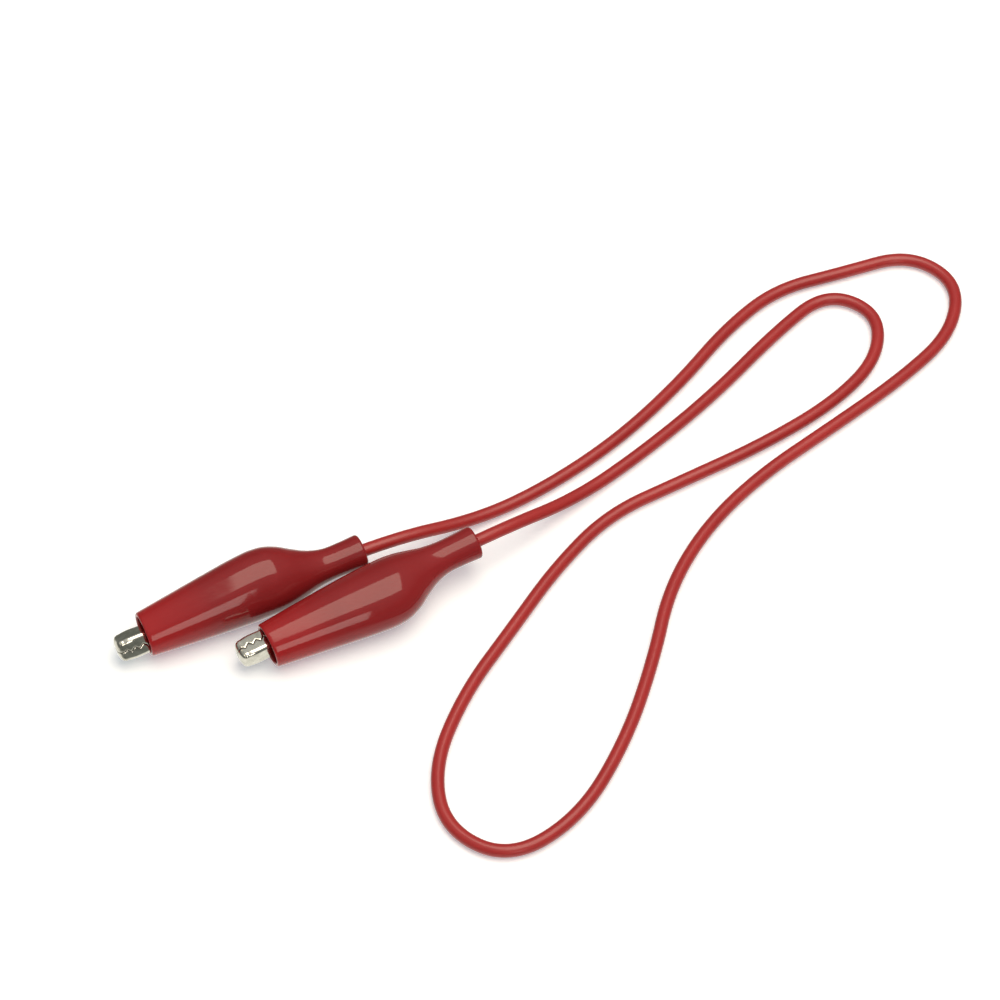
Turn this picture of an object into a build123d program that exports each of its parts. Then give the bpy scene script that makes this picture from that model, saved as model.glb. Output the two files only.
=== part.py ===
from build123d import *
import math
import os

# Alligator clip lead: one flexible cord with a sprung, toothed, booted clip on
# each end.  Units are millimetres.  +Z is up, the lead lies on the plane z = 0,
# and the origin is under the middle of the two clips.
#
# Each clip is drawn once in its own frame (pivot at 0, +X to the tip, +Z to the
# moving jaw, Y along the rivet), then placed twice.

# ---------------------------------------------------------------- dimensions
SHEET = 0.4             # nickel-plated steel strip
TIP_X = 15.5            # nose of the jaws, from the pivot
GAP = 0.06              # half of the gap between closed teeth
TOOTH_PITCH = 1.3
TOOTH_HALF = 0.3        # teeth rise and fall this much about the parting line
TEETH = 3
TEETH_X0 = 14.6         # first tooth starts here, the nose is in front of it
THROAT_HALF = 0.45      # half height of the gap behind the teeth
PIN_R = 0.80
PIN_HOLE_R = 0.85       # moving jaw turns on the rivet with 0.05 clearance
PIN_FIXED_HOLE_R = 0.82
EAR_LOWER_R = 1.9
EAR_UPPER_R = 1.5
RIVET_HEAD_R = 1.25
RIVET_HEAD_T = 0.35
WIRE_R = 0.25           # torsion spring wire
COIL_R = 1.35           # mean radius of the coil
COIL_PITCH = 0.52
OPEN_DEG = 25.0         # jaw travel, handles squeezed together

BOOT_MOUTH_X = 11.0
BOOT_END_X = -24.0
BOOT_LIP = 0.8          # end wall of the neck, which grips the cord
BOOT_LIP_HOLE_R = 1.1

CORD_R = 1.0            # 2.0 mm insulated cord
CONDUCTOR_R = 0.4       # 0.8 mm bundle of tinned copper strands
JACKET_START_X = -18.9  # stripped end of the jacket
CONDUCTOR_START_X = -15.2

EXIT_X = -28.4          # the cord leaves the neck straight as far as here
LAND_Z = 1.3            # and comes down to the table

# clip A and clip B: tip position on the table, heading of the cord end, nose-down
# tilt and roll.  roll 0 stands the moving jaw straight up.
A_TIP = (-56.2, -29.4)
A_HEAD = 25.1
A_TILT = 2.4
A_ROLL = 28.0
B_TIP = (-38.3, -30.6)
B_HEAD = 28.5
B_TILT = 3.6
B_ROLL = -90.0

# the middle of the two clips' box, so that it becomes the origin
ORIGIN_X = -29.503
ORIGIN_Y = -20.759

os.makedirs("parts", exist_ok=True)


# ------------------------------------------------------------------ helpers
def slab(points, half):
    """Polygon in the XZ plane, extruded to y = -half .. +half."""
    face = make_face(Polyline([Vector(x, 0, z) for x, z in points], close=True))
    return extrude(face, amount=half, dir=(0, 1, 0), both=True)


def channel_section(x, w, h, sign, r, top):
    """U-shaped section at x: half width w, web at z = sign * h, rounded corners."""
    def p(y, z):
        return Vector(x, y, sign * z)
    k = r * (1 - math.sqrt(0.5))
    edges = [
        Line(p(-w, -top), p(-w, h - r)),
        ThreePointArc(p(-w, h - r), p(-w + k, h - k), p(-w + r, h)),
        Line(p(-w + r, h), p(w - r, h)),
        ThreePointArc(p(w - r, h), p(w - k, h - k), p(w, h - r)),
        Line(p(w, h - r), p(w, -top)),
        Line(p(w, -top), p(-w, -top)),
    ]
    return make_face(Wire(edges))


def channel(stations, sign, radius, top, inset=0.0, front=None):
    """Loft of channel sections.  inset shrinks it to cut out the inside."""
    faces = []
    for x, w, h in stations:
        ww, hh = w - inset, h - inset
        r = min(radius - inset * 0.6, ww * 0.7, hh * 0.7)
        faces.append(channel_section(x, ww, hh, sign, r, top))
    return loft(faces, ruled=True)


def tooth_line(offset):
    """Zigzag parting line from the nose back, moved by offset."""
    pts = [(TIP_X + 1.0, offset), (TEETH_X0, offset)]
    for i in range(TEETH):
        x = TEETH_X0 - i * TOOTH_PITCH
        pts.append((x - 0.25 * TOOTH_PITCH, TOOTH_HALF + offset))
        pts.append((x - 0.75 * TOOTH_PITCH, -TOOTH_HALF + offset))
    pts.append((TEETH_X0 - TEETH * TOOTH_PITCH, offset))
    return pts


def arc_points(r, a0, a1, n=14):
    return [
        (r * math.cos(math.radians(a0 + (a1 - a0) * i / n)),
         r * math.sin(math.radians(a0 + (a1 - a0) * i / n)))
        for i in range(n + 1)
    ]


def rod_y(r, y0, y1, x=0.0, z=0.0):
    """Cylinder along Y."""
    c = Cylinder(r, y1 - y0, align=(Align.CENTER, Align.CENTER, Align.MIN))
    return c.rotate(Axis.X, -90).translate((x, y0, z))


def rod_x(r, x0, x1):
    """Cylinder along X."""
    c = Cylinder(r, x1 - x0, align=(Align.CENTER, Align.CENTER, Align.MIN))
    return c.rotate(Axis.Y, 90).translate((x0, 0, 0))


def corner_radii(points):
    """0.45 of the shorter run over the tangent of half the turn, at each corner."""
    radii = []
    for a, b, c in zip(points, points[1:], points[2:]):
        turn = (b - a).get_angle(c - b)
        run = min((b - a).length, (c - b).length)
        radii.append(0.45 * run / math.tan(math.radians(turn) / 2))
    return radii


# --------------------------------------------------------- jaws (clip frame)
NOSE = [(15.5, 0.70, 0.70), (15.38, 1.02, 1.08), (15.15, 1.30, 1.42),
        (14.8, 1.48, 1.66), (14.3, 1.55, 1.75)]
NOSE_IN = [(15.1, 1.10, 1.12), (14.8, 1.36, 1.50), (14.3, 1.55, 1.75)]
LOWER = [(10.0, 1.55, 1.80), (6.5, 1.55, 1.95), (3.2, 2.15, 2.05), (0.0, 2.20, 2.10),
         (-3.0, 2.15, 2.20), (-8.0, 2.10, 2.40), (-12.3, 1.50, 2.00)]
UPPER = [(10.0, 1.55, 1.80), (6.5, 1.55, 1.95), (3.2, 1.65, 2.10), (0.0, 1.70, 2.30),
         (-3.0, 1.75, 3.30), (-7.0, 1.90, 4.60), (-11.0, 1.80, 4.30)]
CORNER = 0.65


def beyond(stations, dx):
    """The last station repeated a little further back, for a clean cut."""
    x, w, h = stations[-1]
    return stations + [(x - dx, w, h)]


def make_lower_jaw():
    outer = channel(NOSE + LOWER, -1, CORNER, 4.0)
    inner = channel(NOSE_IN + beyond(LOWER, 1.0), -1, CORNER, 5.0, inset=SHEET)
    shell = outer - inner
    top = tooth_line(-GAP)
    top += [(10.5, -THROAT_HALF), (3.6, -THROAT_HALF), (2.2, -0.1)]
    top += arc_points(EAR_LOWER_R, 5, 175)
    top += [(-2.3, -0.5), (-3.4, -1.25), (-11.2, -1.35), (-12.8, -1.7)]
    keep = slab(top + [(-12.8, -8.0), (TIP_X + 1.0, -8.0)], 6.0)
    jaw = shell & keep
    jaw -= rod_y(PIN_FIXED_HOLE_R, -4.0, 4.0)
    # tail: strip that rises from the handle to the crimps
    strip = slab([(-11.7, -1.98), (-12.5, -1.92), (-14.4, -0.78), (-18.0, -0.78),
                  (-18.8, -1.38), (-21.6, -1.38), (-21.6, -0.96), (-18.7, -0.96),
                  (-17.9, -0.34), (-14.6, -0.34), (-12.4, -1.5), (-11.7, -1.66)], 0.85)
    # conductor crimp and insulation crimp, each rolled round with a seam on top
    small = rod_x(CONDUCTOR_R + 0.02 + SHEET, -17.8, -15.7) - rod_x(CONDUCTOR_R + 0.02, -19.0, -14.0)
    large = rod_x(CORD_R + 0.02 + SHEET, -21.8, -19.2) - rod_x(CORD_R + 0.02, -23.0, -18.0)
    seam = Box(6.4, 0.24, 2.0, align=(Align.MIN, Align.CENTER, Align.MIN)).translate((-22.0, 0, 0.1))
    tail = strip - rod_x(CONDUCTOR_R + 0.02, -24.0, -14.0) - rod_x(CORD_R + 0.02, -24.0, -18.5)
    tail = tail + (small - seam) + (large - seam)
    return jaw + tail


def make_upper_jaw():
    outer = channel(NOSE + UPPER, 1, CORNER, 4.0)
    inner = channel(NOSE_IN + beyond(UPPER, 1.0), 1, CORNER, 5.0, inset=SHEET)
    shell = outer - inner
    low = tooth_line(GAP)
    low += [(10.5, THROAT_HALF), (3.2, THROAT_HALF), (1.8, 0.0)]
    low += arc_points(EAR_UPPER_R, -5, -175)
    low += [(-2.0, 0.3), (-3.2, 1.5), (-7.2, 3.0), (-9.0, 3.25), (-11.2, 3.85)]
    keep = slab(low + [(-11.2, 8.0), (TIP_X + 1.0, 8.0)], 6.0)
    jaw = shell & keep
    return jaw - rod_y(PIN_HOLE_R, -4.0, 4.0)


def make_rivet():
    half = 2.2
    body = rod_y(PIN_R, -half - 0.1, half + 0.1)
    for s in (1, -1):
        head = rod_y(RIVET_HEAD_R, 0.02, RIVET_HEAD_T)
        head = fillet(head.edges().sort_by(Axis.Y)[-1], 0.2)
        head = head.translate((0, half, 0))
        if s < 0:
            head = head.rotate(Axis.Z, 180)
        body = body + head
    return body


def tangent_angle(px, pz, upper):
    """Angle on the coil where a straight leg to (px, pz) leaves it."""
    phi = math.atan2(pz, px)
    d = math.acos(COIL_R / math.hypot(px, pz))
    return phi - d if upper else phi + d


def make_spring():
    up, lo = (-8.0, 3.8), (-8.0, -1.7)
    a1 = tangent_angle(up[0], up[1], True)
    a2 = tangent_angle(lo[0], lo[1], False)
    while a2 > a1:
        a2 -= 2 * math.pi
    total = (a1 - a2) + 4 * math.pi
    n = round(total / math.radians(30))
    step = total / n
    height = total / (2 * math.pi) * COIL_PITCH
    r = COIL_R / math.cos(step / 2)
    pts = []
    for k in range(n):
        a = a1 - (k + 0.5) * step
        pts.append(Vector(r * math.cos(a), height * ((k + 0.5) / n - 0.5), r * math.sin(a)))
    pts.insert(0, Vector(up[0], pts[0].Y, up[1]))
    pts.append(Vector(lo[0], pts[-1].Y, lo[1]))
    wire = FilletPolyline(*pts, radius=corner_radii(pts))
    return sweep(Plane(origin=wire @ 0, z_dir=wire % 0) * Circle(WIRE_R), path=wire)


# --------------------------------------------------------- boot (clip frame)
# x, top, bottom, half width, wall
BOOT = [(11.0, 4.05, -2.75, 3.40, 0.60), (5.0, 4.95, -3.25, 3.90, 0.70),
        (-1.0, 5.85, -3.68, 4.35, 0.74), (-5.0, 6.40, -3.90, 4.56, 0.78),
        (-8.0, 6.60, -3.96, 4.62, 0.80), (-10.0, 6.35, -3.92, 4.50, 0.80),
        (-12.0, 5.55, -3.70, 4.05, 0.80), (-14.0, 4.30, -3.25, 3.42, 0.80),
        (-16.0, 3.20, -2.75, 2.85, 0.80), (-18.0, 2.56, -2.50, 2.52, 0.80),
        (-21.0, 2.45, -2.45, 2.45, 0.75), (-24.0, 2.60, -2.60, 2.60, 0.85)]


def boot_section(x, top, bot, ry, off, n=24):
    """Oval section at x."""
    zc, rz = (top + bot) / 2, (top - bot) / 2
    pts = []
    for i in range(n):
        a = 2 * math.pi * (i + 0.5) / n
        pts.append(Vector(x, (ry - off) * math.cos(a), zc + (rz - off) * math.sin(a)))
    return make_face(Polyline(*pts, close=True))


def make_boot():
    outer = loft([boot_section(x, t, b, r, 0) for x, t, b, r, w in BOOT], ruled=True)
    inner = loft([boot_section(x, t, b, r, w) for x, t, b, r, w in BOOT], ruled=True)
    lip = Box(6, 12, 12).translate((BOOT_END_X + BOOT_LIP - 3, 0, 0))
    return outer - (inner - lip) - rod_x(BOOT_LIP_HOLE_R, BOOT_END_X - 1, BOOT_END_X + 3)


# ----------------------------------------------------------------- placement
def clip_plane(tip, head, tilt, roll, height):
    h, t = math.radians(head), math.radians(tilt)
    x_dir = Vector(-math.cos(h) * math.cos(t), -math.sin(h) * math.cos(t), -math.sin(t))
    side = Vector(-math.sin(h), math.cos(h), 0)
    up = side.cross(x_dir)
    if up.Z < 0:
        up = up * -1
    r = math.radians(roll)
    z_dir = up * math.cos(r) + side * math.sin(r)
    origin = Vector(tip[0] - ORIGIN_X, tip[1] - ORIGIN_Y, 0) - x_dir * TIP_X
    return Plane(origin=(origin.X, origin.Y, height), x_dir=x_dir, z_dir=z_dir)


lower_jaw = make_lower_jaw()
upper_jaw = make_upper_jaw()
rivet = make_rivet()
spring = make_spring()
boot = make_boot()

frames = {}
made = {}
for key, tip, head, tilt, roll in (("clip_a", A_TIP, A_HEAD, A_TILT, A_ROLL),
                                   ("clip_b", B_TIP, B_HEAD, B_TILT, B_ROLL)):
    flat = clip_plane(tip, head, tilt, roll, 0.0)
    low = (flat.location * boot).bounding_box().min.Z
    frame = clip_plane(tip, head, tilt, roll, -low)
    frames[key] = frame
    for name, solid in (("lower_jaw", lower_jaw), ("upper_jaw", upper_jaw),
                        ("pivot_rivet", rivet), ("spring", spring), ("boot", boot)):
        made[f"{key}_{name}"] = frame.location * solid


def at(key, x, y=0.0, z=0.0):
    """Point of a clip's own frame, in the part's frame."""
    return frames[key].from_local_coords(Vector(x, y, z))


# ---------------------------------------------------------------------- cord
# Route on the table, from clip A round both bights and back to clip B.  The
# first and last two points lie on the clips' own centre lines.
FLOOR_ROUTE = [
    (-3.4, -4.6), (7.0, 1.6), (18.0, 10.6), (27.6, 21.4), (35.4, 32.4), (43.4, 40.2),
    (54.0, 43.6), (64.6, 47.4), (72.2, 41.6), (70.4, 31.4), (62.0, 22.4), (51.0, 13.2),
    (39.6, 4.0), (31.0, -5.8), (25.2, -17.0), (22.6, -29.6), (18.4, -43.4), (11.6, -56.6),
    (1.4, -63.8), (-7.8, -58.8), (-9.6, -48.2), (-5.2, -35.6), (1.8, -24.2), (8.4, -13.2),
    (16.4, -3.4), (27.6, 2.8), (40.2, 9.8), (51.4, 17.8), (58.6, 26.4), (59.2, 35.6),
    (51.2, 39.6), (43.0, 31.6), (33.0, 19.4), (22.0, 8.4), (11.4, -0.8),
]


def cord_route(start_x):
    pts = [at("clip_a", start_x), at("clip_a", EXIT_X)]
    pts += [Vector(x - ORIGIN_X, y - ORIGIN_Y, CORD_R) for x, y in FLOOR_ROUTE]
    pts += [at("clip_b", EXIT_X), at("clip_b", start_x)]
    # the cord settles on the table over its second run at each end
    pts[2] = Vector(pts[2].X, pts[2].Y, LAND_Z)
    pts[-3] = Vector(pts[-3].X, pts[-3].Y, LAND_Z)
    return pts


route = cord_route(JACKET_START_X)
radii = corner_radii(route)
path = FilletPolyline(*route, radius=radii)
tube_plane = Plane(origin=path @ 0, z_dir=path % 0)
jacket = sweep(tube_plane * (Circle(CORD_R) - Circle(CONDUCTOR_R)), path=path)

core_route = list(route)
core_route[0] = at("clip_a", CONDUCTOR_START_X)
core_route[-1] = at("clip_b", CONDUCTOR_START_X)
core_path = FilletPolyline(*core_route, radius=radii)
core_plane = Plane(origin=core_path @ 0, z_dir=core_path % 0)
conductor = sweep(core_plane * Circle(CONDUCTOR_R), path=core_path)

made["cord_jacket"] = jacket
made["cord_conductor"] = conductor

# ------------------------------------------------------------------- reports
print("route points (mm):")
for p, r in zip(route, [0] + radii + [0]):
    print("  (%.3f, %.3f, %.3f)  arc radius %.2f" % (p.X, p.Y, p.Z, r))
runs = [(b - a).length for a, b in zip(route, route[1:])]
print("runs: shortest %.1f, longest %.1f, sum %.1f" % (min(runs), max(runs), sum(runs)))
print("runs:", " ".join("%.1f" % r for r in runs))
print("smallest arc radius %.2f" % min(radii))
print("cord length %.1f, jacket volume %.1f, section x length %.1f" % (
    path.length, jacket.volume, math.pi * (CORD_R ** 2 - CONDUCTOR_R ** 2) * path.length))
print("conductor length %.1f, volume %.1f, section x length %.1f" % (
    core_path.length, conductor.volume, math.pi * CONDUCTOR_R ** 2 * core_path.length))
boxes = [made[k].bounding_box() for k in made if not k.startswith("cord")]
lo = [min(getattr(b.min, c) for b in boxes) for c in "XYZ"]
hi = [max(getattr(b.max, c) for b in boxes) for c in "XYZ"]
print("clips box", [round(v, 3) for v in lo], [round(v, 3) for v in hi],
      "centre", [round((a + b) / 2, 3) for a, b in zip(lo, hi)])
for key in frames:
    f = frames[key]
    print(key, "pivot", [round(v, 4) for v in f.origin], "x", [round(v, 5) for v in f.x_dir],
          "y", [round(v, 5) for v in f.y_dir], "z", [round(v, 5) for v in f.z_dir])

for name, solid in made.items():
    export_step(solid, f"parts/{name}.step")
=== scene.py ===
import math

import bpy
import numpy as np
from mathutils import Matrix, Vector


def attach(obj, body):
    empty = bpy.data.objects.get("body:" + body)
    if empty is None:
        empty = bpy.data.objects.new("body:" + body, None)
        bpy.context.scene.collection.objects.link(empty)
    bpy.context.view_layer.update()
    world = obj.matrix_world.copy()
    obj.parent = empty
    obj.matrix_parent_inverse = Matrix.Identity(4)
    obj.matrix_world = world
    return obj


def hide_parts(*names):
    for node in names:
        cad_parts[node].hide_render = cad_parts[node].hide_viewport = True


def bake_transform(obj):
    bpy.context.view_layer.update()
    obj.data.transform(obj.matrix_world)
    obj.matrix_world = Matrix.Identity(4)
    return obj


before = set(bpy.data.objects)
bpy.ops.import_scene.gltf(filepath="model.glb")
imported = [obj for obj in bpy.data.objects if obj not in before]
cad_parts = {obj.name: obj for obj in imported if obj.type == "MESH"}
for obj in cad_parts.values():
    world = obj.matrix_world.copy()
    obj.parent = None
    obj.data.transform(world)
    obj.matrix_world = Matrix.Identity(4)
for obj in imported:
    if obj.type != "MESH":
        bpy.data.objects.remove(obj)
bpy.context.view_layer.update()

scene = bpy.context.scene
MM = 0.001

# Each clip's own frame in the part's frame (mm): pivot, +x to the tip,
# y along the rivet, +z to the moving jaw.
CLIPS = {
    "clip_a": (
        (-12.673, -2.0717, 3.7038),
        (-0.90477, -0.42383, -0.04188),
        (0.35674, -0.80791, 0.46906),
        (-0.23263, 0.40945, 0.88217),
    ),
    "clip_b": (
        (4.7978, -2.4596, 4.2415),
        (-0.87708, -0.47622, -0.06279),
        (0.05518, 0.02996, -0.99803),
        (0.47716, -0.87882, 0.0),
    ),
}


def to_row(key, pts):
    """Points of a clip's own frame (mm) in the row frame (metres)."""
    o, x, y, z = (np.array(v, float) for v in CLIPS[key])
    p = np.asarray(pts, float).reshape(-1, 3)
    return (o + p[:, :1] * x + p[:, 1:2] * y + p[:, 2:3] * z) * MM


def to_clip(key, pts):
    """Points of the row frame (metres) in a clip's own frame (mm)."""
    o, x, y, z = (np.array(v, float) for v in CLIPS[key])
    q = np.asarray(pts, float).reshape(-1, 3) / MM - o
    return np.stack([q @ x, q @ y, q @ z], 1)


# ------------------------------------------------------------------- camera
cam_data = bpy.data.cameras.new("camera")
cam = bpy.data.objects.new("camera", cam_data)
scene.collection.objects.link(cam)
cam.location = (0.029503, -0.331912, 0.485410)
cam.rotation_euler = (math.radians(36.0), 0.0, 0.0)
cam_data.lens = 142.56
cam_data.sensor_width = 36.0
cam_data.clip_start = 0.01
cam_data.clip_end = 20.0
scene.camera = cam


# ---------------------------------------------------------------- materials
class Mat:
    """A procedural material with a Principled shader and a few helpers."""

    def __init__(self, name):
        self.m = bpy.data.materials.new(name)
        self.m.use_nodes = True
        self.t = self.m.node_tree
        self.t.nodes.clear()
        self.out = self.t.nodes.new("ShaderNodeOutputMaterial")
        self.p = self.t.nodes.new("ShaderNodeBsdfPrincipled")
        self.t.links.new(self.p.outputs["BSDF"], self.out.inputs["Surface"])
        self.co = self.t.nodes.new("ShaderNodeTexCoord")

    def set(self, **values):
        for k, v in values.items():
            self.p.inputs[k.replace("_", " ")].default_value = v

    def mapping(self, scale=(1, 1, 1), rotation=(0, 0, 0)):
        n = self.t.nodes.new("ShaderNodeMapping")
        n.inputs["Scale"].default_value = scale
        n.inputs["Rotation"].default_value = rotation
        self.t.links.new(self.co.outputs["Object"], n.inputs["Vector"])
        return n.outputs["Vector"]

    def noise(self, scale, detail=3.0, rough=0.5, vector=None, distortion=0.0):
        n = self.t.nodes.new("ShaderNodeTexNoise")
        n.inputs["Scale"].default_value = scale
        n.inputs["Detail"].default_value = detail
        n.inputs["Roughness"].default_value = rough
        n.inputs["Distortion"].default_value = distortion
        self.t.links.new(vector or self.co.outputs["Object"], n.inputs["Vector"])
        return n.outputs["Fac"]

    def ramp(self, fac, stops):
        n = self.t.nodes.new("ShaderNodeValToRGB")
        el = n.color_ramp.elements
        while len(el) < len(stops):
            el.new(0.5)
        for e, (pos, col) in zip(el, stops):
            e.position = pos
            e.color = (*col, 1.0) if len(col) == 3 else col
        self.t.links.new(fac, n.inputs["Fac"])
        return n.outputs["Color"]

    def remap(self, fac, a, b, lo=0.0, hi=1.0):
        n = self.t.nodes.new("ShaderNodeMapRange")
        n.inputs["From Min"].default_value = a
        n.inputs["From Max"].default_value = b
        n.inputs["To Min"].default_value = lo
        n.inputs["To Max"].default_value = hi
        self.t.links.new(fac, n.inputs["Value"])
        return n.outputs["Result"]

    def bump(self, height, strength, distance, normal=None):
        n = self.t.nodes.new("ShaderNodeBump")
        n.inputs["Strength"].default_value = strength
        n.inputs["Distance"].default_value = distance
        self.t.links.new(height, n.inputs["Height"])
        if normal is not None:
            self.t.links.new(normal, n.inputs["Normal"])
        return n.outputs["Normal"]

    def link(self, socket, name):
        self.t.links.new(socket, self.p.inputs[name])


def vinyl(name, dark, light, r_lo, r_hi, wave=0.00002, grain=0.000004, sss=0.0, mouth_light_paint=None, spec=0.38):
    m = Mat(name)
    cloud = m.noise(110.0, 4.0, 0.55)
    colour = m.ramp(cloud, [(0.30, dark), (0.72, light)])
    if mouth_light_paint:  # painted light: a lighter colour towards the mouth, standing in for the brighter light there
        at = m.t.nodes.new("ShaderNodeAttribute")
        at.attribute_name = "mouth"
        mix = m.t.nodes.new("ShaderNodeMix")
        mix.data_type, mix.blend_type = "RGBA", "MULTIPLY"
        m.t.links.new(at.outputs["Fac"], mix.inputs[0])
        m.t.links.new(colour, mix.inputs[6])
        mix.inputs[7].default_value = (*mouth_light_paint, 1.0)
        colour = mix.outputs[2]
    m.link(colour, "Base Color")
    m.link(m.remap(m.noise(420.0, 4.0, 0.6), 0.3, 0.7, r_lo, r_hi), "Roughness")
    if wave:
        n1 = m.bump(m.noise(190.0, 1.0, 0.45), 1.0, wave)
        m.link(m.bump(m.noise(2600.0, 3.0, 0.6), 1.0, grain, n1), "Normal")
    m.set(IOR=1.5, Metallic=0.0, Specular_IOR_Level=spec)
    if sss:
        m.set(Subsurface_Weight=sss, Subsurface_Radius=(1.0, 0.25, 0.15), Subsurface_Scale=0.0012)
    return m.m


def plated(name, dark, light, r_lo, r_hi, grain=0.000003, wave=0.000012, stretch=(1, 1, 1), rotation=(0, 0, 0)):
    m = Mat(name)
    tarnish = m.noise(700.0, 5.0, 0.6)
    m.link(m.ramp(tarnish, [(0.28, dark), (0.62, light)]), "Base Color")
    m.link(m.remap(m.noise(1500.0, 4.0, 0.6), 0.3, 0.7, r_lo, r_hi), "Roughness")
    lines = m.noise(900.0, 3.0, 0.7, m.mapping(stretch, rotation))
    n1 = m.bump(m.noise(420.0, 2.0, 0.5), 1.0, wave)
    n2 = m.bump(lines, 1.0, grain, n1)
    m.link(n2, "Normal")
    m.set(Metallic=1.0)
    return m.m


# the boot red is painted lighter towards the mouth: painted light, not a change in the vinyl
BOOT_RED = vinyl("boot_vinyl_red", (0.238, 0.0140, 0.0155), (0.270, 0.0175, 0.0195), 0.055, 0.11, wave=0.000006, grain=0.0000015, sss=0.06, mouth_light_paint=(1.38, 0.93, 0.95))
CORD_RED = vinyl("cord_vinyl_red", (0.365, 0.0220, 0.0215), (0.415, 0.0280, 0.0265), 0.28, 0.33, wave=0.0, spec=0.5)
NICKEL = {
    key: plated(
        f"nickel_plate_{key}",
        (0.58, 0.555, 0.475),
        (0.82, 0.795, 0.705),
        0.07,
        0.17,
        stretch=(0.25, 1.6, 1.6),
        rotation=(0.0, 0.0, math.radians(a)),
    )
    for key, a in (("clip_a", -25.0), ("clip_b", -28.5))
}
RIVET = plated("rivet_steel", (0.46, 0.44, 0.39), (0.62, 0.60, 0.55), 0.18, 0.32)
SPRING = plated("spring_steel", (0.30, 0.29, 0.28), (0.46, 0.45, 0.43), 0.24, 0.38)
TINNED = plated("tinned_copper", (0.52, 0.50, 0.46), (0.72, 0.70, 0.66), 0.22, 0.36)


# --------------------------------------------------------------- mesh helpers
def make_mesh(name, verts, faces, material, smooth=True):
    me = bpy.data.meshes.new(name)
    me.from_pydata([tuple(v) for v in np.asarray(verts, float)], [], faces)
    me.validate()
    me.materials.append(material)
    ob = bpy.data.objects.new(name, me)
    scene.collection.objects.link(ob)
    if smooth:
        me.polygons.foreach_set("use_smooth", [True] * len(me.polygons))
    me.update()
    return ob


def fix_normals(ob):
    import bmesh

    bm = bmesh.new()
    bm.from_mesh(ob.data)
    bmesh.ops.remove_doubles(bm, verts=bm.verts, dist=1e-7)
    bmesh.ops.dissolve_degenerate(bm, edges=bm.edges, dist=1e-8)
    bmesh.ops.recalc_face_normals(bm, faces=bm.faces)
    bm.to_mesh(ob.data)
    bm.free()
    ob.data.update()


def sharp_by_angle(ob, deg):
    ob.data.set_sharp_from_angle(angle=math.radians(deg))


def ring_faces(n_rings, n, closed=False, cap=False):
    """Quads between rings of n points each; the rings close on themselves if asked."""
    faces = []
    last = n_rings if closed else n_rings - 1
    for i in range(last):
        a, b = i * n, ((i + 1) % n_rings) * n
        for j in range(n):
            k = (j + 1) % n
            faces.append((a + j, a + k, b + k, b + j))
    if cap and not closed:
        faces.append(tuple(range(n)))
        faces.append(tuple(reversed(range((n_rings - 1) * n, n_rings * n))))
    return faces


def smooth_table(table, xs):
    """Cubic Hermite through the rows of (x, values...), with finite-difference tangents."""
    t = np.array(sorted(table), float)
    x, y = t[:, 0], t[:, 1:]
    slope = np.diff(y, axis=0) / np.diff(x)[:, None]
    tan = np.zeros_like(y)
    tan[0], tan[-1] = slope[0], slope[-1]
    h = np.diff(x)
    for i in range(1, len(x) - 1):
        tan[i] = (slope[i - 1] * h[i] + slope[i] * h[i - 1]) / (h[i] + h[i - 1])
    xs = np.clip(np.asarray(xs, float), x[0], x[-1])
    k = np.clip(np.searchsorted(x, xs, "right") - 1, 0, len(h) - 1)
    u = ((xs - x[k]) / h[k])[:, None]
    hh = h[k][:, None]
    return (
        (2 * u**3 - 3 * u**2 + 1) * y[k]
        + (u**3 - 2 * u**2 + u) * hh * tan[k]
        + (-2 * u**3 + 3 * u**2) * y[k + 1]
        + (u**3 - u**2) * hh * tan[k + 1]
    )


def tube(points, radius, sides=10, cap=True, twist=0.0):
    """Rings of a round tube along points (N x 3), by parallel transport."""
    p = np.asarray(points, float)
    tan = np.gradient(p, axis=0)
    tan /= np.linalg.norm(tan, axis=1)[:, None]
    n = np.cross(tan[0], (0.0, 0.0, 1.0))
    if np.linalg.norm(n) < 1e-6:
        n = np.array((1.0, 0.0, 0.0))
    n /= np.linalg.norm(n)
    verts = []
    ang = np.linspace(0, 2 * math.pi, sides, endpoint=False) + twist
    for i in range(len(p)):
        n = n - tan[i] * (n @ tan[i])
        n /= np.linalg.norm(n)
        b = np.cross(tan[i], n)
        verts.append(p[i] + radius * (np.cos(ang)[:, None] * n + np.sin(ang)[:, None] * b))
    return np.concatenate(verts), ring_faces(len(p), sides, cap=cap)


# --------------------------------------------------------------------- cord
ROUTE = [
    (4.427, 5.939, 4.495), (13.022, 9.965, 4.893), (26.103, 16.159, 1.3), (36.503, 22.359, 1.0),
    (47.503, 31.359, 1.0), (57.103, 42.159, 1.0), (64.903, 53.159, 1.0), (72.903, 60.959, 1.0),
    (83.503, 64.359, 1.0), (94.103, 68.159, 1.0), (101.703, 62.359, 1.0), (99.903, 52.159, 1.0),
    (91.503, 43.159, 1.0), (80.503, 33.959, 1.0), (69.103, 24.759, 1.0), (60.503, 14.959, 1.0),
    (54.703, 3.759, 1.0), (52.103, -8.841, 1.0), (47.903, -22.641, 1.0), (41.103, -35.841, 1.0),
    (30.903, -43.041, 1.0), (21.703, -38.041, 1.0), (19.903, -27.441, 1.0), (24.303, -14.841, 1.0),
    (31.303, -3.441, 1.0), (37.903, 7.559, 1.0), (45.903, 17.359, 1.0), (57.103, 23.559, 1.0),
    (69.703, 30.559, 1.0), (80.903, 38.559, 1.0), (88.103, 47.159, 1.0), (88.703, 56.359, 1.0),
    (80.703, 60.359, 1.0), (72.503, 52.359, 1.0), (62.503, 40.159, 1.0), (51.503, 29.159, 1.0),
    (40.903, 19.959, 1.3), (29.707, 11.065, 6.025), (21.375, 6.541, 5.428),
]


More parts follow.
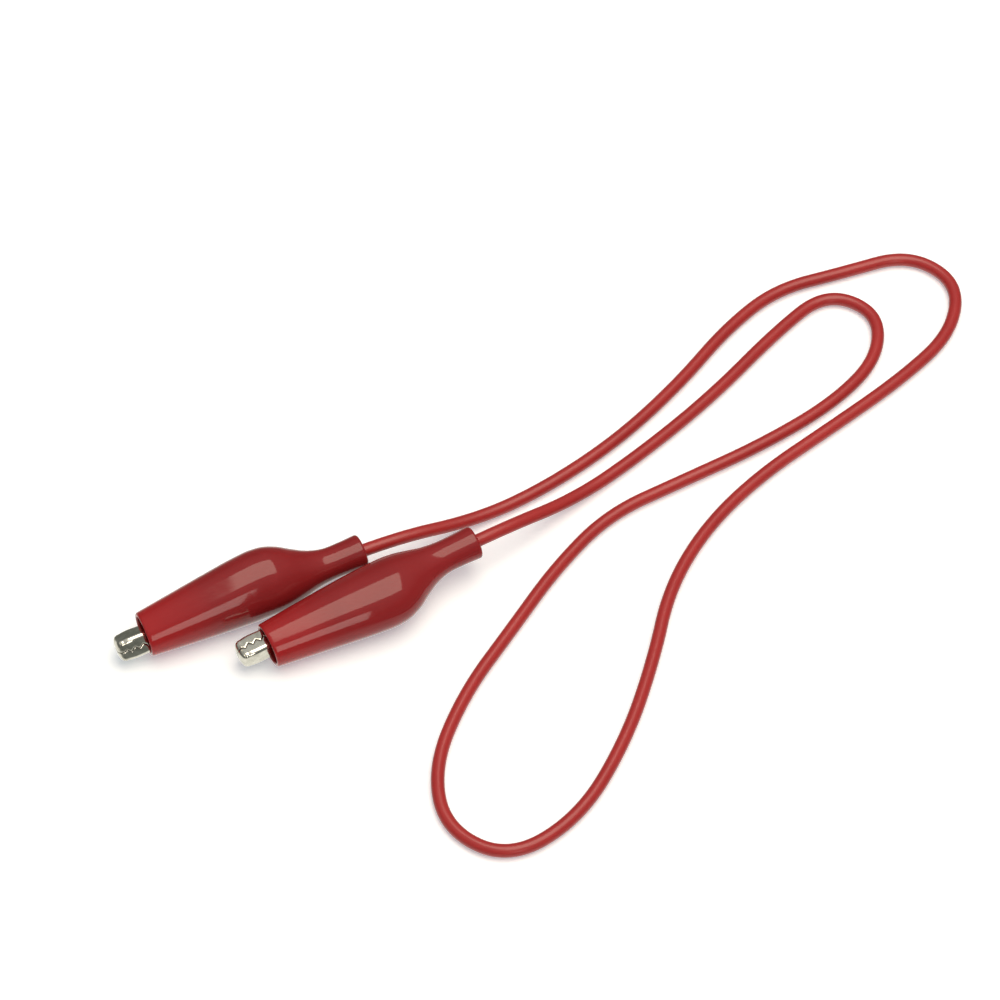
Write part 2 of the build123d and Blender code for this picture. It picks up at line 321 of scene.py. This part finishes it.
def nurbs_curve(name, bevel):
    cu = bpy.data.curves.new(name, "CURVE")
    cu.dimensions = "3D"
    cu.resolution_u = 16
    cu.render_resolution_u = 0
    sp = cu.splines.new("NURBS")
    sp.points.add(len(ROUTE) - 1)
    for pt, (x, y, z) in zip(sp.points, ROUTE):
        pt.co = (x * MM, y * MM, z * MM, 1.0)
    sp.order_u = 3
    sp.use_endpoint_u = True
    sp.use_smooth = True
    cu.bevel_depth = bevel
    cu.bevel_resolution = 6
    cu.use_fill_caps = bevel > 0
    ob = bpy.data.objects.new(name, cu)
    scene.collection.objects.link(ob)
    return ob


cord = nurbs_curve("cord_insulation", 0.001)
cord.data.materials.append(CORD_RED)
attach(cord, "lead")
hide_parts("cord_jacket", "cord_conductor")


def spline_points():
    """The route's own centreline, read from a curve with no bevel."""
    line = nurbs_curve("cord_line", 0.0)
    bpy.context.view_layer.update()
    dg = bpy.context.evaluated_depsgraph_get()
    me = bpy.data.meshes.new_from_object(line.evaluated_get(dg))
    pts = np.array([v.co for v in me.vertices], float)
    bpy.data.meshes.remove(me)
    data = line.data
    bpy.data.objects.remove(line)
    bpy.data.curves.remove(data)
    return pts


def strands():
    """Seven twisted strands through the jacket, bare at each end as far as the crimp."""
    line = spline_points()
    a = to_row("clip_a", [(-15.2, 0, 0), (-16.4, 0, 0), (-17.8, 0, 0)])
    b = to_row("clip_b", [(-17.8, 0, 0), (-16.4, 0, 0), (-15.2, 0, 0)])
    p = np.concatenate([a, line, b])
    step = np.r_[0, np.cumsum(np.linalg.norm(np.diff(p, axis=0), axis=1))]
    n = 620
    s = np.linspace(0, step[-1], n)
    p = np.stack([np.interp(s, step, p[:, i]) for i in range(3)], 1)
    tan = np.gradient(p, axis=0)
    tan /= np.linalg.norm(tan, axis=1)[:, None]
    u = np.cross(tan[0], (0.0, 0.0, 1.0))
    u /= np.linalg.norm(u)
    frames = []
    for i in range(n):
        u = u - tan[i] * (u @ tan[i])
        u /= np.linalg.norm(u)
        frames.append((u.copy(), np.cross(tan[i], u)))
    verts, faces, base = [], [], 0
    for k in range(7):
        if k == 0:
            q = p
        else:
            a0 = 2 * math.pi * k / 6
            q = np.array([
                p[i] + 0.00026 * (math.cos(a0 + s[i] / 0.0011) * frames[i][0]
                                  + math.sin(a0 + s[i] / 0.0011) * frames[i][1])
                for i in range(n)
            ])
        v, f = tube(q, 0.000125, 6)
        verts.append(v)
        faces += [tuple(j + base for j in face) for face in f]
        base += len(v)
    ob = make_mesh("cord_strands", np.concatenate(verts), faces, TINNED)
    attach(ob, "lead")
    return ob


strands()

# -------------------------------------------------------------------- boots
# x, top, bottom, half width, wall
BOOT = [
    (11.0, 4.05, -2.75, 3.40, 0.60), (5.0, 4.95, -3.25, 3.90, 0.70), (-1.0, 5.85, -3.68, 4.35, 0.74),
    (-5.0, 6.40, -3.90, 4.56, 0.78), (-8.0, 6.60, -3.96, 4.62, 0.80), (-10.0, 6.35, -3.92, 4.50, 0.80),
    (-12.0, 5.55, -3.70, 4.05, 0.80), (-14.0, 4.30, -3.25, 3.42, 0.80), (-16.0, 3.20, -2.75, 2.85, 0.80),
    (-18.0, 2.56, -2.50, 2.52, 0.80), (-21.0, 2.45, -2.45, 2.45, 0.75), (-24.0, 2.60, -2.60, 2.60, 0.85),
]
MOUTH_X, END_X, LIP, HOLE_R = 11.0, -24.0, 0.8, 1.1


def boot_profile():
    """Rows of (x, offset from the outer surface, or None and a radius for the neck's hole)."""
    rows = []
    inner = np.linspace(END_X + LIP, MOUTH_X - 0.3, 90)
    for x in inner:
        rows.append((x, "wall", 1.0))
    for a in np.linspace(0, math.pi, 11)[1:-1]:
        rows.append((MOUTH_X - 0.3 + 0.3 * math.sin(a), "wall", 0.5 + 0.5 * math.cos(a)))
    for x in np.linspace(MOUTH_X - 0.3, END_X + 0.45, 130):
        rows.append((x, "wall", 0.0))
    for a in np.linspace(0, math.pi / 2, 8)[1:]:
        rows.append((END_X + 0.45 - 0.45 * math.sin(a), "abs", 0.45 * (1 - math.cos(a))))
    for r in np.linspace(0.0, 1.0, 5)[1:-1]:
        rows.append((END_X, "face", r))
    for a in np.linspace(0, math.pi / 2, 5):
        rows.append((END_X + 0.12 * math.sin(a), "hole", 0.12 * (1 - math.sin(a + 0.0)) if a else 0.12))
    for x in (END_X + 0.4, END_X + LIP):
        rows.append((x, "hole", 0.0))
    rows.append((END_X + LIP, "mid", 0.5))
    return rows


def make_boot(key):
    n = 112
    ang = np.linspace(0, 2 * math.pi, n, endpoint=False)
    verts = []
    for x, kind, v in boot_profile():
        top, bot, ry, wall = smooth_table(BOOT, [x])[0]
        zc, rz = (top + bot) / 2, (top - bot) / 2
        if kind == "wall":
            off = wall * v
            y, z = (ry - off) * np.cos(ang), zc + (rz - off) * np.sin(ang)
        elif kind == "abs":
            y, z = (ry - v) * np.cos(ang), zc + (rz - v) * np.sin(ang)
        elif kind == "face":
            a0, b0 = ry - 0.45, HOLE_R + 0.12
            r = a0 + (b0 - a0) * v
            y, z = r * np.cos(ang), zc + r * np.sin(ang)
        elif kind == "hole":
            y, z = (HOLE_R + v) * np.cos(ang), (HOLE_R + v) * np.sin(ang)
        else:
            y = (HOLE_R + (ry - wall)) / 2 * np.cos(ang)
            z = zc + (HOLE_R + (rz - wall)) / 2 * np.sin(ang)
        verts.append(np.stack([np.full(n, x), y, z], 1))
    rings = len(verts)
    ob = make_mesh(f"{key}_boot_shell", to_row(key, np.concatenate(verts)), ring_faces(rings, n, closed=True), BOOT_RED)
    fix_normals(ob)
    sharp_by_angle(ob, 50)
    # painted light: the mouth attribute rises towards the mouth so the boot red is drawn lighter there
    x_clip = to_clip(key, [v.co for v in ob.data.vertices])[:, 0]
    f = np.clip((x_clip - 0.5) / 10.5, 0, 1)
    ob.data.attributes.new("mouth", "FLOAT", "POINT").data.foreach_set("value", (f * (1.6 - 0.6 * f)).astype(np.float32))
    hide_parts(f"{key}_boot")
    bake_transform(ob)
    return ob


# --------------------------------------------------------------------- jaws
T = 0.4
NOSE = [(15.5, 0.70, 0.70), (15.38, 1.02, 1.08), (15.15, 1.30, 1.42), (14.8, 1.48, 1.66), (14.3, 1.55, 1.75)]
LOWER = [(10.0, 1.55, 1.80), (6.5, 1.55, 1.95), (3.2, 2.15, 2.05), (0.0, 2.20, 2.10), (-3.0, 2.15, 2.20),
         (-8.0, 2.10, 2.40), (-12.3, 1.50, 2.00)]
UPPER = [(10.0, 1.55, 1.80), (6.5, 1.55, 1.95), (3.2, 1.65, 2.10), (0.0, 1.70, 2.30), (-3.0, 1.75, 3.30),
         (-7.0, 1.90, 4.60), (-11.0, 1.80, 4.30)]


def tooth_line(x, gap):
    """Height of the zigzag parting line at x, moved by gap."""
    u = 14.6 - x
    if u < 0 or u > 3.9:
        return gap
    k = (u / 1.3) % 1.0
    if k < 0.25:
        z = 0.3 * k / 0.25
    elif k < 0.75:
        z = 0.3 - 0.6 * (k - 0.25) / 0.5
    else:
        z = -0.3 + 0.3 * (k - 0.75) / 0.25
    return z + gap


def edge_height(x, upper):
    """z of the sheet's edge at x, in the clip's frame."""
    if x > 10.7:
        return tooth_line(x, 0.06 if upper else -0.06)
    if upper:
        pts = [(10.7, 0.06), (10.5, 0.45), (3.2, 0.45), (1.8, 0.0), (1.494, -0.13)]
        pts += [(1.5 * math.cos(math.radians(a)), 1.5 * math.sin(math.radians(a))) for a in range(-6, -175, -6)]
        pts += [(-1.494, -0.13), (-2.0, 0.3), (-3.2, 1.5), (-7.2, 3.0), (-9.0, 3.25), (-11.2, 3.85)]
    else:
        pts = [(10.7, -0.06), (10.5, -0.45), (3.6, -0.45), (2.2, -0.1), (1.893, 0.166)]
        pts += [(1.9 * math.cos(math.radians(a)), 1.9 * math.sin(math.radians(a))) for a in range(6, 175, 6)]
        pts += [(-1.893, 0.166), (-2.3, -0.5), (-3.4, -1.25), (-11.2, -1.35), (-12.8, -1.7)]
    xs = [p[0] for p in pts][::-1]
    zs = [p[1] for p in pts][::-1]
    return float(np.interp(x, xs, zs))


def jaw_ring(x, w, h, e, solid, groove=0.0):
    """Closed section of the channel at x, in z' (away from the parting line)."""
    r = min(0.65, w * 0.7, max(0.05, (h - e) * 0.75))
    rho = min(0.045, (h - e) * 0.2)
    g = groove

    def side(sign):
        out = [(w - rho * 0.3, e + rho * 0.3), (w - g * 0.4, e + rho)]
        wall = np.linspace(e + rho, h - r, 5)[1:]
        out += [(w - g, z) for z in wall]
        for a in np.linspace(0, math.pi / 2, 8)[1:]:
            out.append((w - g - r * (1 - math.cos(a)), h - r + r * math.sin(a)))
        return [(sign * y, z) for y, z in out]

    right = side(1)
    left = side(-1)[::-1]
    web = [(y, h) for y in np.linspace(right[-1][0], left[0][0], 8)[1:-1]]
    outer = right + web + left
    if solid:
        wi, ri, hi = w - rho, 0.0, e
        inner_side = [(wi, e)] * 13
    else:
        ri, hi, wi = max(0.05, r - T), h - T, w - T
        inner_side = [(wi + rho, e), (wi + rho * 0.3, e + rho * 0.3), (wi, e + rho)]
        inner_side += [(wi, z) for z in np.linspace(e + rho, hi - ri, 4)[1:]]
        inner_side += [(wi - ri * (1 - math.cos(a)), hi - ri + ri * math.sin(a)) for a in np.linspace(0, math.pi / 2, 8)[1:]]
    left_in = [(-y, z) for y, z in inner_side]
    a, b = left_in[-1], inner_side[-1]
    web_in = [(y, a[1]) for y in np.linspace(a[0], b[0], 8)[1:-1]]
    lip_l = [(-(w - rho), e)]
    lip_r = [(w - rho, e)]
    return outer + lip_l + left_in + web_in + inner_side[::-1] + lip_r


def make_jaw(key, upper):
    table = NOSE + (UPPER if upper else LOWER)
    name = "upper" if upper else "lower"
    end = -11.2 if upper else -12.3
    sign = 1.0 if upper else -1.0
    xs = [15.5, 15.49, 15.46, 15.42, 15.36, 15.28, 15.2, 15.1]
    xs2 = [15.1, 14.98]
    grooves = [14.93, 14.91, 14.85, 14.83]
    xs3 = list(np.linspace(14.78, 14.6, 4))
    xs3 += [14.6 - 1.3 * (i + j / 14.0) for i in range(3) for j in range(14)][1:]
    xs3 += list(np.linspace(10.7, 10.5, 4)) + list(np.linspace(10.4, 2.3, 28))
    r_ear = 1.5 if upper else 1.9
    xs3 += [r_ear * math.cos(a) for a in np.linspace(0.05, math.pi - 0.05, 40)]
    xs3 += list(np.linspace(-r_ear - 0.05, end, 40))
    rows = [(x, True, 0.0) for x in xs] + [(x, False, 0.0) for x in xs2]
    rows += [(x, False, 0.10 if 0 < i < 3 else 0.0) for i, x in enumerate(grooves)]
    rows += [(x, False, 0.0) for x in sorted(set(xs3), reverse=True)]
    verts = []
    for x, solid, g in rows:
        w, h = smooth_table(table, [x])[0]
        if x > 14.3:
            d = (x - 14.3) / 1.2
            w = 0.62 + (1.55 - 0.62) * math.sqrt(max(0.0, 1 - d**3.2))
            h = 0.62 + (1.75 - 0.62) * math.sqrt(max(0.0, 1 - d**3.2))
        z_edge = edge_height(x, upper)
        e = z_edge if upper else -z_edge
        if not upper and x < -11.7:
            e = min(e, h - 0.5)
        ring = jaw_ring(x, w, h, min(e, h - 0.42), solid, g)
        verts.append([(x, y, sign * z) for y, z in ring])
    n = len(verts[0])
    pts = np.array([p for ring in verts for p in ring])
    faces = ring_faces(len(verts), n, cap=True)
    pts_row = to_row(key, pts)
    if not upper:  # the strip and the two crimps behind the handle, as in the CAD
        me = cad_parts[f"{key}_lower_jaw"].data
        co = np.array([v.co for v in me.vertices], float)
        loc = to_clip(key, co)
        used, tail_faces, base = {}, [], len(pts_row)
        extra = []
        for poly in me.polygons:
            if all(loc[i][0] < -11.6 for i in poly.vertices):
                f = []
                for i in poly.vertices:
                    if i not in used:
                        used[i] = base + len(extra)
                        extra.append(co[i])
                    f.append(used[i])
                tail_faces.append(tuple(f))
        pts_row = np.concatenate([pts_row, np.array(extra)])
        faces += tail_faces
    ob = make_mesh(f"{key}_{name}_jaw_plate", pts_row, faces, NICKEL[key])
    fix_normals(ob)
    sharp_by_angle(ob, 38)
    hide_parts(f"{key}_{name}_jaw")
    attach(ob, f"{key}_jaw" if upper else "lead")
    return ob


# ------------------------------------------------------------------- springs
def make_spring(key):
    coil_r, pitch, wire = 1.35, 0.52, 0.25
    up, lo = (-8.0, 3.8), (-8.0, -1.7)
    a1 = math.atan2(up[1], up[0]) - math.acos(coil_r / math.hypot(*up))
    a2 = math.atan2(lo[1], lo[0]) + math.acos(coil_r / math.hypot(*lo))
    while a2 > a1:
        a2 -= 2 * math.pi
    total = (a1 - a2) + 4 * math.pi
    height = total / (2 * math.pi) * pitch
    m = 120
    t = np.linspace(0, 1, m)
    ang = a1 - t * total
    coil = np.stack([coil_r * np.cos(ang), height * (t - 0.5), coil_r * np.sin(ang)], 1)
    first = np.stack([np.linspace(up[0], coil[0][0], 12), np.full(12, coil[0][1]), np.linspace(up[1], coil[0][2], 12)], 1)
    last = np.stack([np.linspace(coil[-1][0], lo[0], 12), np.full(12, coil[-1][1]), np.linspace(coil[-1][2], lo[1], 12)], 1)
    path = np.concatenate([first[:-1], coil, last[1:]])
    v, f = tube(path, wire, 14)
    ob = make_mesh(f"{key}_torsion_spring", to_row(key, v), f, SPRING)
    fix_normals(ob)
    sharp_by_angle(ob, 50)
    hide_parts(f"{key}_spring")
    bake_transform(ob)
    return ob


for key in CLIPS:
    make_boot(key)
    make_jaw(key, True)
    make_jaw(key, False)
    make_spring(key)
    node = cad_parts[f"{key}_pivot_rivet"]
    node.data.materials.clear()
    node.data.materials.append(RIVET)

# hidden CAD nodes keep a procedural finish too
for name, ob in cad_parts.items():
    if ob.hide_render:
        ob.data.materials.clear()
        ob.data.materials.append(
            BOOT_RED if name.endswith("boot") else CORD_RED if name == "cord_jacket"
            else TINNED if name == "cord_conductor" else SPRING if name.endswith("spring")
            else NICKEL["clip_a" if name.startswith("clip_a") else "clip_b"]
        )

# -------------------------------------------------------------------- studio
floor_mat = Mat("floor_paper")
floor_mat.link(floor_mat.ramp(floor_mat.noise(6.0, 2.0, 0.5), [(0.3, (0.89, 0.89, 0.89)), (0.7, (0.915, 0.915, 0.91))]), "Base Color")
floor_mat.link(floor_mat.remap(floor_mat.noise(40.0, 3.0, 0.5), 0.3, 0.7, 0.55, 0.7), "Roughness")
floor_mat.set(Specular_IOR_Level=0.2, Emission_Color=(0.84, 0.92, 1.0, 1.0), Emission_Strength=0.30)
floor = make_mesh(
    "floor",
    [(-2.5, -2.5, -0.00006), (2.5, -2.5, -0.00006), (2.5, 2.5, -0.00006), (-2.5, 2.5, -0.00006)],
    [(0, 1, 2, 3)],
    floor_mat.m,
    smooth=False,
)
floor.visible_glossy = False  # polished metal reflects the studio around the paper


def softbox(name, location, target, size_x, size_y, radiance, colour=(1.0, 1.0, 1.0), roll=0.0):
    li = bpy.data.lights.new(name, "AREA")
    li.shape = "RECTANGLE"
    li.size, li.size_y = size_x, size_y
    li.energy = radiance * math.pi * size_x * size_y
    li.color = colour
    ob = bpy.data.objects.new(name, li)
    scene.collection.objects.link(ob)
    ob.location = location
    d = (Vector(target) - Vector(location)).normalized()
    q = d.to_track_quat("-Z", "Y")
    ob.rotation_mode = "QUATERNION"
    ob.rotation_quaternion = q @ Matrix.Rotation(math.radians(roll), 3, "Z").to_quaternion()
    return ob


key = softbox("key_softbox", (0.178, 0.023, 0.70), (0.178, 0.023, 0.0), 0.50, 0.72, 3.4, (1.0, 0.90, 0.75), roll=27.0)
front = softbox("front_softbox", (0.335, -0.83, 0.38), (0.0, 0.0, 0.0), 0.15, 0.44, 3.3, (1.0, 0.93, 0.84))
fill = softbox("fill_ceiling", (0.0, 0.0, 2.2), (0.0, 0.0, 0.0), 3.0, 3.0, 0.25, (0.92, 0.96, 1.0))
fill.visible_glossy = False

world = bpy.data.worlds.new("studio")
world.use_nodes = True
nt = world.node_tree
nt.nodes.clear()
w_out = nt.nodes.new("ShaderNodeOutputWorld")
w_bg = nt.nodes.new("ShaderNodeBackground")
w_co = nt.nodes.new("ShaderNodeTexCoord")
w_sep = nt.nodes.new("ShaderNodeSeparateXYZ")
w_ramp = nt.nodes.new("ShaderNodeValToRGB")
while len(w_ramp.color_ramp.elements) < 6:
    w_ramp.color_ramp.elements.new(0.5)
for e, (pos, col) in zip(
    w_ramp.color_ramp.elements,
    [
        (0.0, (1.0, 0.99, 0.93)),
        (0.26, (0.86, 0.85, 0.79)),
        (0.40, (0.18, 0.19, 0.17)),
        (0.66, (0.13, 0.135, 0.13)),
        (0.84, (0.42, 0.42, 0.405)),
        (0.95, (0.56, 0.565, 0.55)),
    ],
):
    e.position = pos
    e.color = (*col, 1.0)
w_map = nt.nodes.new("ShaderNodeMapRange")
w_map.inputs["From Min"].default_value = -1.0
w_map.inputs["From Max"].default_value = 1.0
nt.links.new(w_co.outputs["Generated"], w_sep.inputs["Vector"])
nt.links.new(w_sep.outputs["Z"], w_map.inputs["Value"])
nt.links.new(w_map.outputs["Result"], w_ramp.inputs["Fac"])
nt.links.new(w_ramp.outputs["Color"], w_bg.inputs["Color"])
nt.links.new(w_bg.outputs["Background"], w_out.inputs["Surface"])
w_bg.inputs["Strength"].default_value = 1.0
scene.world = world

scene.view_settings.view_transform = "Standard"
scene.view_settings.look = "None"
